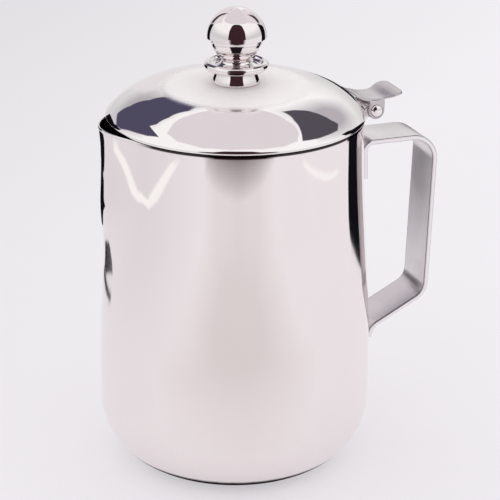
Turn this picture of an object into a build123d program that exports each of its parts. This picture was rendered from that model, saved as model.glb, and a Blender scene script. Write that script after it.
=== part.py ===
"""Hot milk jug with a hinged lid, in stainless steel sheet.

A deep-drawn jug body with a pulled pouring lip carries a bent strip handle and a small
hinge bracket. A domed lid with a screwed ball knob swings on a rivet through the bracket
and is lifted by a thumb lever. Millimetres, +Z up, origin at the centre of the base,
handle towards +X and pouring lip towards -X.
"""

import os
from math import atan, cos, pi, radians, sin, sqrt, tan

from build123d import *

# Jug body: a drawn shell, slightly wider at the belly than at the rim
body_height = 144.0
rim_radius = 50.3
belly_radius = 54.8
belly_height = 39.0
neck_drop = 3.0
corner_radius = 26.0
body_sheet = 0.8

# Pouring lip: a channel pressed outwards from the wall, with a flared and raised tip
lip_half_angle = 26.0
lip_channel_depth = 3.9
lip_channel_length = 62.0
lip_channel_run_out = 34.0
lip_flare = 1.3
lip_flare_height = 18.0
lip_rise = 0.7
lip_rise_reach = 9.0
lip_trim_allowance = 1.0
wall_sections = 11
lip_spans = 8

# Strip handle, bent flat with a flange at each end
strip_width = 19.5
strip_thickness = 1.9
strip_edge_radius = 0.4
weld_gap = 0.1
handle_drop = 13.2
grip_standoff = 29.1
grip_lean = 2.1
grip_foot_height = 61.7
lower_arm_height = 49.6
lower_arm_standoff = 2.7
upper_flange_length = 15.0
lower_flange_length = 4.4
upper_flange_bend = 3.6
grip_top_bend = 10.0
grip_foot_bend = 7.5
lower_flange_bend = 6.0

# Hinge: a rivet through the lugs of a bracket on the body and the ears of the lever
pin_reach = 6.9
pin_drop = 2.0
pin_radius = 1.5
pin_clearance = 0.05
rivet_head_radius = 2.6
rivet_head_height = 1.4
rivet_head_gap = 0.15
ear_span = 14.0
ear_sheet = 1.0
ear_radius = 3.4
ear_side_gap = 0.3
lug_sheet = 1.0
lug_radius = 2.7
bracket_height = 6.5
bracket_top_drop = 2.0
bracket_lug_overlap = 0.4

# Thumb lever: a plate over the hinge, welded on the shoulder of the lid
lever_sheet = 1.0
lever_over_pin = 4.1
lever_lap = 3.2
lever_reach = 10.8
lever_rise = 2.3
lever_pad_width = 18.0
lever_pad_start = 2.6
lever_pad_length = 4.4
lever_corner_radius = 2.6

# Lid: a domed pressing with a hemmed edge that rests on the rim
lid_overhang = 0.7
lid_sheet = 0.8
lid_edge_slope = 50.0
lid_fullness = 5.0
dome_spans = 12
lid_rest_gap = 0.3
hem_width = 2.4
screw_radius = 2.0
screw_clearance = 0.15

# Knob: foot, collar, neck, cup and cap on one screw
foot_radius = 9.45
foot_top_radius = 8.2
foot_height = 5.35
foot_edge = 0.7
foot_bore_radius = 5.2
seat_gap = 0.05
collar_radius = 12.65
collar_edge = 3.2
collar_dish = 1.5
collar_dish_radius = 9.4
waist_height = 3.1
neck_foot_radius = 8.3
neck_top_radius = 6.2
neck_waist = 0.5
cup_radius = 10.2
ball_sheet = 0.9
cap_radius = 11.6
cap_band = 0.4
insert_radius = 4.2
insert_height = 4.6
washer_radius = 5.4
washer_thickness = 0.8
screw_head_radius = 3.6
screw_head_height = 2.2
screw_head_edge = 0.9
screw_end_gap = 0.6

# Levels that follow from the sizes above
neck_level = body_height - neck_drop
lip_angle = radians(lip_half_angle)
lip_foot_level = body_height - lip_channel_length
lip_flare_level = body_height - lip_flare_height
handle_level = body_height - handle_drop - strip_thickness / 2
pin_x = rim_radius + pin_reach
pin_z = body_height - pin_drop
hem_radius = lid_sheet
lid_radius = rim_radius + lid_overhang
lid_edge_level = body_height + lid_rest_gap + hem_radius
edge_slope = radians(lid_edge_slope)
hem_x = lid_radius - hem_radius
dome_radius = hem_x + hem_radius * sin(edge_slope)
dome_foot_level = lid_edge_level + hem_radius * cos(edge_slope)
dome_rise = dome_radius * tan(edge_slope) / lid_fullness
lid_apex = dome_foot_level + dome_rise
lever_level = pin_z + lever_over_pin
foot_level = lid_apex + seat_gap
collar_level = foot_level + foot_height
neck_foot_level = collar_level + collar_edge - collar_dish
cup_level = neck_foot_level + waist_height
ball_level = cup_level + sqrt(cup_radius**2 - neck_top_radius**2)
washer_level = lid_apex - lid_sheet - washer_thickness - seat_gap * 2


def ease(share):
    """Smooth step from 0 to 1, held flat outside that range."""
    held = min(max(share, 0.0), 1.0)
    return held * held * (3 - 2 * held)


def wall_radius(level):
    """Outer radius of the plain wall at a height."""
    share = (neck_level - level) / (neck_level - belly_height)
    return rim_radius + (belly_radius - rim_radius) * ease(share)


def lip_bulge(level):
    """How far the middle of the lip stands out of the plain wall at a height."""
    channel = lip_channel_depth * ease((level - lip_foot_level) / lip_channel_run_out)
    flare_share = max(level - lip_flare_level, 0.0) / lip_flare_height
    return channel + lip_flare * flare_share**2


def lip_points(level, skin):
    """Points across the lip at a height, on a surface that lies a skin inside the wall."""
    points = []
    for step in range(lip_spans + 1):
        turn = lip_angle * (1 - 2 * step / lip_spans)
        bump = (1 + cos(pi * turn / lip_angle)) / 2
        radius = wall_radius(level) - skin + lip_bulge(level) * bump
        points.append((-radius * cos(turn), radius * sin(turn)))
    return points


def wall_section(level, skin):
    """Closed outline of the jug at a height: the round wall and the lip across it."""
    round_half = 180 - lip_half_angle
    radius = wall_radius(level) - skin
    CenterArc((0, 0), radius, -round_half, 2 * round_half)
    if lip_bulge(level) > 0:
        start_way = (-sin(lip_angle), -cos(lip_angle))
        end_way = (sin(lip_angle), -cos(lip_angle))
        Spline(*lip_points(level, skin), tangents=[start_way, end_way])
    else:
        CenterArc((0, 0), radius, round_half, 2 * lip_half_angle)


def dome_slope(share):
    """Slope of the dome at a share of its radius, flat in the middle and steep at the edge."""
    return atan(tan(edge_slope) * share ** (lid_fullness - 1))


def dome_point(share, skin):
    """Radius and height at a share of the dome's radius, on a surface a skin inside it."""
    slope = dome_slope(share)
    level = dome_foot_level + dome_rise * (1 - share**lid_fullness)
    return (dome_radius * share - skin * sin(slope), level - skin * cos(slope))


def dome_points(start, end, skin):
    """Points along the dome between two shares of its radius."""
    step = (end - start) / dome_spans
    return [dome_point(start + step * span, skin) for span in range(dome_spans + 1)]


trim_level = body_height + lip_rise + lip_trim_allowance
wall_step = (trim_level - belly_height) / (wall_sections - 1)
wall_levels = [belly_height + wall_step * step for step in range(wall_sections)]
trim_reach = belly_radius + lip_channel_depth + lip_flare * 2 + lip_rise

# Jug body: drawn base and corner, lofted wall with the lip, rim trimmed to rise at the lip
base_flat_radius = belly_radius - corner_radius
with BuildPart() as jug_body:
    with BuildSketch(Plane.XZ):
        with BuildLine():
            outer_base = Line((0, 0), (base_flat_radius, 0))
            outer_corner = RadiusArc(outer_base @ 1, (belly_radius, corner_radius), -corner_radius)
            outer_wall = Line(outer_corner @ 1, (belly_radius, belly_height))
            top_edge = Line(outer_wall @ 1, (belly_radius - body_sheet, belly_height))
            inner_wall = Line(top_edge @ 1, (belly_radius - body_sheet, corner_radius))
            inner_corner = RadiusArc(
                inner_wall @ 1, (base_flat_radius, body_sheet), corner_radius - body_sheet
            )
            Polyline(inner_corner @ 1, (0, body_sheet), outer_base @ 0)
        make_face()
    revolve(axis=Axis.Z)
    for level in wall_levels:
        with BuildSketch(Plane.XY.offset(level)):
            with BuildLine():
                wall_section(level, 0)
            make_face()
    loft()
    for level in wall_levels:
        with BuildSketch(Plane.XY.offset(level)):
            with BuildLine():
                wall_section(level, body_sheet)
            make_face()
    loft(mode=Mode.SUBTRACT)
    lip_tip_x = -(rim_radius + lip_bulge(body_height))
    with BuildSketch(Plane.XZ):
        with BuildLine():
            Polyline(
                (trim_reach, body_height),
                (lip_tip_x + lip_rise_reach, body_height),
                (lip_tip_x, body_height + lip_rise),
                (-trim_reach, body_height + lip_rise),
                (-trim_reach, trim_level + lip_trim_allowance),
                (trim_reach, trim_level + lip_trim_allowance),
                close=True,
            )
        make_face()
    extrude(amount=trim_reach, both=True, mode=Mode.SUBTRACT)
jug_body.part.label = "jug_body"

# Handle: one strip bent through four corners, both end flanges lying along the body
half_strip = strip_thickness / 2
grip_x = belly_radius + grip_standoff - half_strip
upper_flange_end = handle_level - upper_flange_length
lower_flange_end = lower_arm_height - lower_flange_length
handle_points = [
    (wall_radius(upper_flange_end) + weld_gap + half_strip, upper_flange_end),
    (wall_radius(handle_level) + weld_gap + half_strip, handle_level),
    (grip_x, handle_level),
    (grip_x - grip_lean, grip_foot_height),
    (wall_radius(lower_arm_height) + lower_arm_standoff, lower_arm_height),
    (wall_radius(lower_flange_end) + weld_gap + half_strip, lower_flange_end),
]
handle_bends = [upper_flange_bend, grip_top_bend, grip_foot_bend, lower_flange_bend]
with BuildPart() as handle:
    with BuildSketch(Plane.XZ):
        with BuildLine():
            FilletPolyline(*handle_points, radius=handle_bends)
        trace(line_width=strip_thickness)
    extrude(amount=strip_width / 2, both=True)
    strip_sides = handle.faces().filter_by(Axis.Y).sort_by(Axis.Y)
    fillet(strip_sides[0].edges() + strip_sides[-1].edges(), radius=strip_edge_radius)
handle.part.label = "handle"

# Hinge bracket: a curved plate on the body, folded into two lugs that hold the rivet
lug_outer = ear_span / 2 - ear_sheet - ear_side_gap
bracket_top = body_height - bracket_top_drop
bracket_foot = bracket_top - bracket_height
bracket_inner = wall_radius(bracket_foot) + weld_gap
bracket_outer = bracket_inner + lug_sheet
lug_root = sqrt(bracket_outer**2 - lug_outer**2) - bracket_lug_overlap
with BuildPart() as hinge_bracket:
    with BuildSketch(Plane.XY.offset(bracket_foot)):
        Circle(bracket_outer)
        Circle(bracket_inner, mode=Mode.SUBTRACT)
        with Locations((bracket_outer, 0)):
            Rectangle(bracket_outer, lug_outer * 2, mode=Mode.INTERSECT)
    extrude(amount=bracket_height)
    for side in (-1, 1):
        with BuildSketch(Plane.XZ.offset(side * (lug_outer - lug_sheet / 2))):
            with BuildLine():
                Polyline(
                    (lug_root, pin_z - lug_radius),
                    (pin_x, pin_z - lug_radius),
                    (pin_x, pin_z + lug_radius),
                    (lug_root, bracket_top),
                    close=True,
                )
            make_face()
            with Locations((pin_x, pin_z)):
                Circle(lug_radius)
                Circle(pin_radius + pin_clearance, mode=Mode.SUBTRACT)
        extrude(amount=lug_sheet / 2, both=True)
hinge_bracket.part.label = "hinge_bracket"

# Hinge rivet: plain shank with a domed head outside each ear
head_seat = ear_span / 2 + rivet_head_gap
head_dome = (rivet_head_radius**2 + rivet_head_height**2) / (2 * rivet_head_height)
with BuildPart() as hinge_rivet:
    with BuildSketch(Plane.XY.offset(pin_z)):
        with BuildLine():
            shank = Polyline(
                (pin_x, head_seat + rivet_head_height),
                (pin_x, -head_seat - rivet_head_height),
            )
            low_head = RadiusArc(
                shank @ 1, (pin_x + rivet_head_radius, -head_seat), -head_dome
            )
            body_line = Polyline(
                low_head @ 1,
                (pin_x + pin_radius, -head_seat),
                (pin_x + pin_radius, head_seat),
                (pin_x + rivet_head_radius, head_seat),
            )
            RadiusArc(body_line @ 1, shank @ 0, -head_dome)
        make_face()
    revolve(axis=Axis((pin_x, 0, pin_z), (0, 1, 0)))
hinge_rivet.part.label = "hinge_rivet"

# Thumb lever: an S-shaped plate welded on the lid's shoulder, its neck folded into two ears
lever_tip_x = pin_x + lever_reach
lever_mid = lever_level + lever_sheet / 2
pad_x = pin_x + lever_pad_start
pad_full_x = pad_x + lever_pad_length
root_share = 1 - lever_lap / lid_radius
root_slope = dome_slope(root_share)
root_x, root_z = dome_point(root_share, -weld_gap - lever_sheet / 2)
with BuildPart() as thumb_lever:
    with BuildSketch(Plane.XZ):
        with BuildLine():
            neck_line = Spline(
                (root_x, root_z),
                (pin_x, lever_mid),
                tangents=[(cos(root_slope), -sin(root_slope)), (1, 0)],
            )
            Spline(
                neck_line @ 1,
                (lever_tip_x, lever_mid + lever_rise),
                tangents=[(1, 0), (1, 0)],
            )
        trace(line_width=lever_sheet)
    extrude(amount=lever_pad_width, both=True)
    with BuildSketch(Plane.XY.offset(lever_level - lever_sheet)):
        with BuildLine():
            right_neck = Line((root_x - lever_sheet, -ear_span / 2), (pad_x, -ear_span / 2))
            right_flare = Spline(
                right_neck @ 1,
                (pad_full_x, -lever_pad_width / 2),
                tangents=[(1, 0), (1, 0)],
            )
            tip = Polyline(
                right_flare @ 1,
                (lever_tip_x, -lever_pad_width / 2),
                (lever_tip_x, lever_pad_width / 2),
                (pad_full_x, lever_pad_width / 2),
            )
            left_flare = Spline(tip @ 1, (pad_x, ear_span / 2), tangents=[(-1, 0), (-1, 0)])
            Polyline(left_flare @ 1, (root_x - lever_sheet, ear_span / 2), right_neck @ 0)
        make_face()
    extrude(amount=lid_apex - lever_level, mode=Mode.INTERSECT)
    tip_edges = thumb_lever.edges().filter_by(Axis.Z).group_by(Axis.X)[-1]
    fillet(tip_edges, radius=lever_corner_radius)
    for side in (-1, 1):
        with BuildSketch(Plane.XZ.offset(side * (ear_span / 2 - ear_sheet / 2))):
            with Locations((pin_x, pin_z)):
                Circle(ear_radius)
            with Locations((pin_x, (pin_z + lever_mid) / 2)):
                Rectangle(ear_radius * 2, lever_mid - pin_z)
            with Locations((pin_x, pin_z)):
                Circle(pin_radius + pin_clearance, mode=Mode.SUBTRACT)
        extrude(amount=ear_sheet / 2, both=True)
thumb_lever.part.label = "thumb_lever"

# Lid: flat-topped dome, its edge folded back inside as a hem, pierced for the knob screw
hem_skin = lid_sheet * 2
hem_share = 1 - hem_width / dome_radius
hem_low = (hem_x + hem_radius * cos(edge_slope), lid_edge_level - hem_radius * sin(edge_slope))
with BuildPart() as lid_shell:
    with BuildSketch(Plane.XZ):
        with BuildLine():
            dome = Spline(*dome_points(0, 1, 0))
            ThreePointArc(dome @ 1, hem_low, dome_point(1, hem_skin))
            hem = Spline(*dome_points(1, hem_share, hem_skin))
            inside = Spline(*dome_points(hem_share, 0, lid_sheet))
            Line(hem @ 1, inside @ 0)
            Line(inside @ 1, dome @ 0)
        make_face()
    revolve(axis=Axis.Z)
    with Locations((0, 0, lid_apex)):
        Hole(screw_radius + screw_clearance, depth=dome_rise)
lid_shell.part.label = "lid_shell"

# Knob foot: a flared turned ring with a round lower edge, whose underside follows the dome
foot_base = dome_point(foot_radius / dome_radius, 0)[1] + seat_gap
with BuildPart() as knob_foot:
    with BuildSketch(Plane.XZ):
        with BuildLine():
            foot_under = Line((foot_bore_radius, foot_level), (foot_radius - foot_edge, foot_base))
            foot_round = RadiusArc(
                foot_under @ 1, (foot_radius, foot_base + foot_edge), -foot_edge
            )
            foot_flare = Spline(
                foot_round @ 1,
                (foot_top_radius, collar_level),
                tangents=[(-foot_edge, foot_height), (0, 1)],
            )
            Polyline(foot_flare @ 1, (foot_bore_radius, collar_level), foot_under @ 0)
        make_face()
    revolve(axis=Axis.Z)
knob_foot.part.label = "knob_foot"

# Knob collar: a disc with a thick round rim, dished on top where the neck stands
screw_bore = screw_radius + screw_clearance
rim_round_radius = collar_radius - collar_edge / 2
with BuildPart() as knob_collar:
    with BuildSketch(Plane.XZ):
        with BuildLine():
            collar_base = Line((screw_bore, collar_level), (rim_round_radius, collar_level))
            collar_round = ThreePointArc(
                collar_base @ 1,
                (collar_radius, collar_level + collar_edge / 2),
                (rim_round_radius, collar_level + collar_edge),
            )
            dish_side = Spline(
                collar_round @ 1,
                (collar_dish_radius, neck_foot_level),
                tangents=[(-1, 0), (-1, 0)],
            )
            Polyline(dish_side @ 1, (screw_bore, neck_foot_level), collar_base @ 0)
        make_face()
    revolve(axis=Axis.Z)
knob_collar.part.label = "knob_collar"

# Knob neck: a waisted ring between the collar and the cup
with BuildPart() as knob_neck:
    with BuildSketch(Plane.XZ):
        with BuildLine():
            neck_base = Line((screw_bore, neck_foot_level), (neck_foot_radius, neck_foot_level))
            neck_side = Spline(
                neck_base @ 1,
                (neck_top_radius - neck_waist, cup_level - waist_height / 4),
                (neck_top_radius - neck_waist / 2, cup_level),
            )
            Polyline(neck_side @ 1, (screw_bore, cup_level), neck_base @ 0)
        make_face()
    revolve(axis=Axis.Z)
knob_neck.part.label = "knob_neck"

# Knob cup: the lower pressing of the ball, flat inside where the insert sits
cup_floor = cup_level + ball_sheet
cup_inner = cup_radius - ball_sheet
cup_floor_radius = sqrt(cup_inner**2 - (ball_level - cup_floor) ** 2)
with BuildPart() as knob_cup:
    with BuildSketch(Plane.XZ):
        with BuildLine():
            cup_base = Line((screw_bore, cup_level), (neck_top_radius, cup_level))
            cup_outside = RadiusArc(cup_base @ 1, (cup_radius, ball_level), -cup_radius)
            cup_lip = Line(cup_outside @ 1, (cup_inner, ball_level))
            cup_inside = RadiusArc(cup_lip @ 1, (cup_floor_radius, cup_floor), cup_inner)
            Polyline(cup_inside @ 1, (screw_bore, cup_floor), cup_base @ 0)
        make_face()
    revolve(axis=Axis.Z)
knob_cup.part.label = "knob_cup"

# Knob cap: the upper pressing, whose straight band stands proud over the cup
cap_inner = cap_radius - ball_sheet
with BuildPart() as knob_cap:
    with BuildSketch(Plane.XZ):
        with BuildLine():
            cap_crown = Line((0, ball_level + cap_inner), (0, ball_level + cap_radius))
            cap_outside = RadiusArc(cap_crown @ 1, (cap_radius, ball_level), cap_radius)
            cap_skirt = Polyline(
                cap_outside @ 1,
                (cap_radius, ball_level - cap_band),
                (cup_radius + seat_gap, ball_level - cap_band),
                (cup_radius + seat_gap, ball_level),
                (cap_inner, ball_level),
            )
            RadiusArc(cap_skirt @ 1, cap_crown @ 0, -cap_inner)
        make_face()
    revolve(axis=Axis.Z)
knob_cap.part.label = "knob_cap"

# Knob insert: the threaded boss inside the cup that takes the screw
with BuildPart() as knob_insert:
    with BuildSketch(Plane.XY.offset(cup_floor)):
        Circle(insert_radius)
        Circle(screw_radius + seat_gap, mode=Mode.SUBTRACT)
    extrude(amount=insert_height)
    chamfer(knob_insert.edges().group_by(Axis.Z)[-1], length=insert_radius / 10)
knob_insert.part.label = "knob_insert"

# Washer and pan-head screw under the lid
with BuildPart() as lid_washer:
    with BuildSketch(Plane.XY.offset(washer_level)):
        Circle(washer_radius)
        Circle(screw_bore, mode=Mode.SUBTRACT)
    extrude(amount=washer_thickness)
lid_washer.part.label = "lid_washer"

screw_end = cup_floor + insert_height - screw_end_gap
with BuildPart() as knob_screw:
    with BuildSketch(Plane.XY.offset(washer_level)):
        Circle(screw_radius)
    extrude(amount=screw_end - washer_level)
    with BuildSketch(Plane.XY.offset(washer_level - screw_head_height)):
        Circle(screw_head_radius)
    extrude(amount=screw_head_height)
    fillet(knob_screw.edges().group_by(Axis.Z)[0], radius=screw_head_edge)
knob_screw.part.label = "knob_screw"

pieces = [
    jug_body,
    handle,
    hinge_bracket,
    hinge_rivet,
    thumb_lever,
    lid_shell,
    knob_foot,
    knob_collar,
    knob_neck,
    knob_cup,
    knob_cap,
    knob_insert,
    lid_washer,
    knob_screw,
]
os.makedirs("parts", exist_ok=True)
for piece in pieces:
    export_step(piece.part, f"parts/{piece.part.label}.step")
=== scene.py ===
import math

import bmesh
import bpy
from mathutils import Matrix, Vector


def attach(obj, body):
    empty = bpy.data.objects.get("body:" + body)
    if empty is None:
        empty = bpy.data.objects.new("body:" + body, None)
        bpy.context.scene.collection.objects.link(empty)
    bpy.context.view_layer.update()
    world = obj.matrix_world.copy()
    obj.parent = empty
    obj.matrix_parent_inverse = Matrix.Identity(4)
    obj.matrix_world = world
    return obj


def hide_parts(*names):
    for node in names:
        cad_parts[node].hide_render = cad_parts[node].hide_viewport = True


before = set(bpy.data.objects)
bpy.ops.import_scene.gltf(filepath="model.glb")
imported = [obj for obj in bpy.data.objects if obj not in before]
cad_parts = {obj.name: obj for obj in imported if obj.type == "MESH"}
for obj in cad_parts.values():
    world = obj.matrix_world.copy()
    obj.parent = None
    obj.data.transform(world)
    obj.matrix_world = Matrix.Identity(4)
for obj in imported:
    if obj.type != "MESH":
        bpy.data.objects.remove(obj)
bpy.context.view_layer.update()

# Jug body: one deep-drawn pressing of 0.8 mm stainless steel with the pouring lip pressed out
# of its wall. The rim is trimmed to rise a little at the lip and rounded so that it does not
# cut. The outside is wheel polished, so it mirrors the room with very fine lines round it.
BODY_HEIGHT = 144.0
RIM_RADIUS = 50.3
BELLY_RADIUS = 54.79
BELLY_HEIGHT = 39.0
NECK_LEVEL = 141.0
CORNER_RADIUS = 26.0
BODY_SHEET = 0.8
HALF_SHEET = BODY_SHEET / 2
BASE_FLAT = BELLY_RADIUS - CORNER_RADIUS
BASE_RINGS = (12.0, 22.0, BASE_FLAT)
LIP_HALF_ANGLE = math.radians(26.0)
LIP_CHANNEL = 3.9
LIP_FOOT = 82.0
LIP_RUN_OUT = 34.0
LIP_FLARE = 1.3
LIP_FLARE_FOOT = 126.0
LIP_RISE = 0.7
LIP_RISE_REACH = 9.0
AROUND = 288
CORNER_STEPS = 24
WALL_STEPS = 110
RIM_STEPS = 8
INSIDE_STEPS = 60
INSIDE_CORNER_STEPS = 16
QUARTER = math.pi / 2
TURNS = [2 * math.pi * k / AROUND - math.pi for k in range(AROUND)]


def ease(share):
    held = min(max(share, 0.0), 1.0)
    return held * held * (3 - 2 * held)


def wall_radius(level):
    share = (NECK_LEVEL - level) / (NECK_LEVEL - BELLY_HEIGHT)
    return RIM_RADIUS + (BELLY_RADIUS - RIM_RADIUS) * ease(share)


def lip_bulge(level):
    flare = max(level - LIP_FLARE_FOOT, 0.0) / (BODY_HEIGHT - LIP_FLARE_FOOT)
    return LIP_CHANNEL * ease((level - LIP_FOOT) / LIP_RUN_OUT) + LIP_FLARE * flare**2


def wall_point(turn, level, depth):
    """A point of the wall at a depth under its outside; turn 0 is the middle of the lip."""
    bump = 0.0
    if abs(turn) < LIP_HALF_ANGLE:
        bump = (1 + math.cos(math.pi * turn / LIP_HALF_ANGLE)) / 2
    radius = wall_radius(level) - depth + lip_bulge(level) * bump
    return (-radius * math.cos(turn), radius * math.sin(turn), level)


def rim_level(turn):
    """Height of the trimmed rim, which climbs towards the tip of the lip."""
    tip = -(RIM_RADIUS + lip_bulge(BODY_HEIGHT))
    across = wall_point(turn, BODY_HEIGHT, 0)[0]
    share = (tip + LIP_RISE_REACH - across) / LIP_RISE_REACH
    return BODY_HEIGHT + LIP_RISE * min(max(share, 0), 1)


def hoop(radius, level):
    """A level ring of points round the jug's axis."""
    return [(-radius * math.cos(t), radius * math.sin(t), level) for t in TURNS]


def corner_hoop(bend, depth):
    """A ring of the round corner under the wall."""
    radius = CORNER_RADIUS - depth
    return hoop(BASE_FLAT + radius * math.sin(bend), depth + radius * (1 - math.cos(bend)))


def wall_hoop(share, depth):
    """A ring of the wall at a share of the way from the corner to the rim."""
    ring = []
    for t in TURNS:
        rise = rim_level(t) - HALF_SHEET - CORNER_RADIUS
        ring.append(wall_point(t, CORNER_RADIUS + rise * share, depth))
    return ring


def rim_hoop(bend):
    """A ring of the rounded rim, which turns over from the outside to the inside."""
    ring = []
    for t in TURNS:
        level = rim_level(t) - HALF_SHEET
        x, y, _ = wall_point(t, level, HALF_SHEET * (1 - math.cos(bend)))
        ring.append((x, y, level + HALF_SHEET * math.sin(bend)))
    return ring


def skin(name, rings, ends=False, sharp=40.0):
    """A mesh through rings of points in mm; a ring of one point is a pole, ends are flat caps."""
    verts, faces, starts = [], [], []
    for ring in rings:
        starts.append(len(verts))
        verts.extend(Vector(p) / 1000 for p in ring)
    pairs = list(zip(range(len(rings) - 1), range(1, len(rings))))
    if not ends and len(rings[0]) > 1 and len(rings[-1]) > 1:
        pairs.append((len(rings) - 1, 0))
    for low, high in pairs:
        count = max(len(rings[low]), len(rings[high]))
        a, b = starts[low], starts[high]
        for k in range(count):
            n = (k + 1) % count
            if len(rings[low]) == 1:
                faces.append((a, b + n, b + k))
            elif len(rings[high]) == 1:
                faces.append((a + k, a + n, b))
            else:
                faces.append((a + k, a + n, b + n, b + k))
    if ends:
        faces.append(tuple(reversed(range(starts[0], starts[0] + len(rings[0])))))
        faces.append(tuple(range(starts[-1], starts[-1] + len(rings[-1]))))
    mesh = bpy.data.meshes.new(name)
    mesh.from_pydata(verts, [], faces)
    mesh.validate()
    mesh.shade_smooth()
    mesh.set_sharp_from_angle(angle=math.radians(sharp))
    piece = bpy.data.objects.new(name, mesh)
    bpy.context.scene.collection.objects.link(piece)
    return piece


rings = [[(0, 0, 0)]]
rings += [hoop(radius, 0) for radius in BASE_RINGS]
rings += [corner_hoop(QUARTER * k / CORNER_STEPS, 0) for k in range(1, CORNER_STEPS + 1)]
rings += [wall_hoop(k / WALL_STEPS, 0) for k in range(1, WALL_STEPS + 1)]
rings += [rim_hoop(math.pi * k / RIM_STEPS) for k in range(1, RIM_STEPS + 1)]
rings += [wall_hoop(1 - k / INSIDE_STEPS, BODY_SHEET) for k in range(1, INSIDE_STEPS + 1)]
for k in range(1, INSIDE_CORNER_STEPS + 1):
    rings.append(corner_hoop(QUARTER * (1 - k / INSIDE_CORNER_STEPS), BODY_SHEET))
rings.append([(0, 0, BODY_SHEET)])
jug = skin("jug_shell", rings)


def linear(code):
    """An sRGB hex colour as linear red, green, blue and full alpha."""
    parts = [int(code[k:k + 2], 16) / 255 for k in (1, 3, 5)]
    return [c / 12.92 if c <= 0.04045 else ((c + 0.055) / 1.055) ** 2.4 for c in parts] + [1.0]


def add(tree, kind, settings, links):
    """One node, its plain properties and socket values set and its links made."""
    made = tree.nodes.new(kind)
    for key, value in settings.items():
        if isinstance(key, int) or key in made.inputs:
            made.inputs[key].default_value = value
        else:
            setattr(made, key, value)
    for key, source in links.items():
        tree.links.new(source, made.inputs[key])
    return made


# Wheel-polished stainless steel: a warm grey mirror, clouded a little by handling. The wheel ran
# round the jug, so reflections smear up and down, less so near the rim, where it is finer. Its
# lines are really about 0.05 mm apart and are drawn at 0.6 mm so that they show. The last
# millimetre under the lid, but not on the lip, is painted dark: a painted shadow of the lid's
# hem.
LINE_SPACING = 0.6
LINE_LENGTH = 83.333
CLOUD_SIZE = 45.0
FINE_FROM = 96.0
FINE_TO = FINE_FROM + 18.0
# Painted shadow: from here up to the rim the wall is painted dark, except on the lip.
RIM_SHADOW_FROM = BODY_HEIGHT - 1.0
RIM_SHADOW_TO = RIM_SHADOW_FROM + 0.3
LIP_FROM = -47.0
LIP_TO = LIP_FROM + 4.0
# A Mix node's sockets: its share, the two numbers or the two colours that it mixes, the results.
SHARE = 0
NUMBER_A, NUMBER_B = 2, 3
COLOUR_A, COLOUR_B = 6, 7
MIXED_NUMBER, MIXED_COLOUR = 0, 2
polished = bpy.data.materials.new("wheel_polished_steel")
polished.use_nodes = True
tree = polished.node_tree
place = add(tree, "ShaderNodeTexCoord", {}, {})
squash = add(
    tree, "ShaderNodeMapping",
    {"Scale": (1000 / LINE_LENGTH, 1000 / LINE_LENGTH, 1000 / LINE_SPACING)},
    {"Vector": place.outputs["Object"]},
)
lines = add(
    tree, "ShaderNodeTexNoise", {"Scale": 1.0, "Detail": 3.0},
    {"Vector": squash.outputs["Vector"]},
)
cloud = add(
    tree, "ShaderNodeTexNoise", {"Scale": 1000 / CLOUD_SIZE, "Detail": 4.0},
    {"Vector": place.outputs["Object"]},
)
axes = add(tree, "ShaderNodeSeparateXYZ", {}, {"Vector": place.outputs["Object"]})
rim_shadow_band = add(
    tree, "ShaderNodeMapRange", {"From Min": RIM_SHADOW_FROM / 1000, "From Max": RIM_SHADOW_TO / 1000},
    {"Value": axes.outputs["Z"]},
)
rim_shadow_off_lip = add(
    tree, "ShaderNodeMapRange", {"From Min": LIP_FROM / 1000, "From Max": LIP_TO / 1000},
    {"Value": axes.outputs["X"]},
)
painted_rim_shadow = add(
    tree, "ShaderNodeMath", {"operation": "MULTIPLY"},
    {0: rim_shadow_band.outputs["Result"], 1: rim_shadow_off_lip.outputs["Result"]},
)
polish = add(
    tree, "ShaderNodeMix",
    {"data_type": "RGBA", COLOUR_A: linear("#F3ECEB"), COLOUR_B: linear("#F7F1F0")},
    {SHARE: cloud.outputs["Fac"]},
)
# The dark colour mixed in here is the painted shadow under the lid's hem.
tone = add(
    tree, "ShaderNodeMix", {"data_type": "RGBA", COLOUR_B: linear("#3F393B")},
    {SHARE: painted_rim_shadow.outputs[0], COLOUR_A: polish.outputs[MIXED_COLOUR]},
)
wheel_grain = add(
    tree, "ShaderNodeMapRange", {"To Min": 0.06, "To Max": 0.11}, {"Value": lines.outputs["Fac"]}
)
fine = add(
    tree, "ShaderNodeMapRange", {"From Min": FINE_FROM / 1000, "From Max": FINE_TO / 1000},
    {"Value": axes.outputs["Z"]},
)
grain = add(
    tree, "ShaderNodeMix", {"data_type": "FLOAT", NUMBER_B: 0.035},
    {SHARE: fine.outputs["Result"], NUMBER_A: wheel_grain.outputs["Result"]},
)
relief = add(
    tree, "ShaderNodeBump", {"Strength": 0.006, "Distance": 0.0002},
    {"Height": lines.outputs["Fac"]},
)
round_jug = add(tree, "ShaderNodeTangent", {"direction_type": "RADIAL", "axis": "Z"}, {})
steel = tree.nodes["Principled BSDF"]
steel.inputs["Metallic"].default_value = 1.0
steel.inputs["Anisotropic"].default_value = 0.6
steel.inputs["Anisotropic Rotation"].default_value = 0.25
tree.links.new(tone.outputs[MIXED_COLOUR], steel.inputs["Base Color"])
tree.links.new(grain.outputs[MIXED_NUMBER], steel.inputs["Roughness"])
tree.links.new(relief.outputs["Normal"], steel.inputs["Normal"])
tree.links.new(round_jug.outputs["Tangent"], steel.inputs["Tangent"])
jug.data.materials.append(polished)
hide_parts("jug_body")
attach(jug, "jug")

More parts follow.
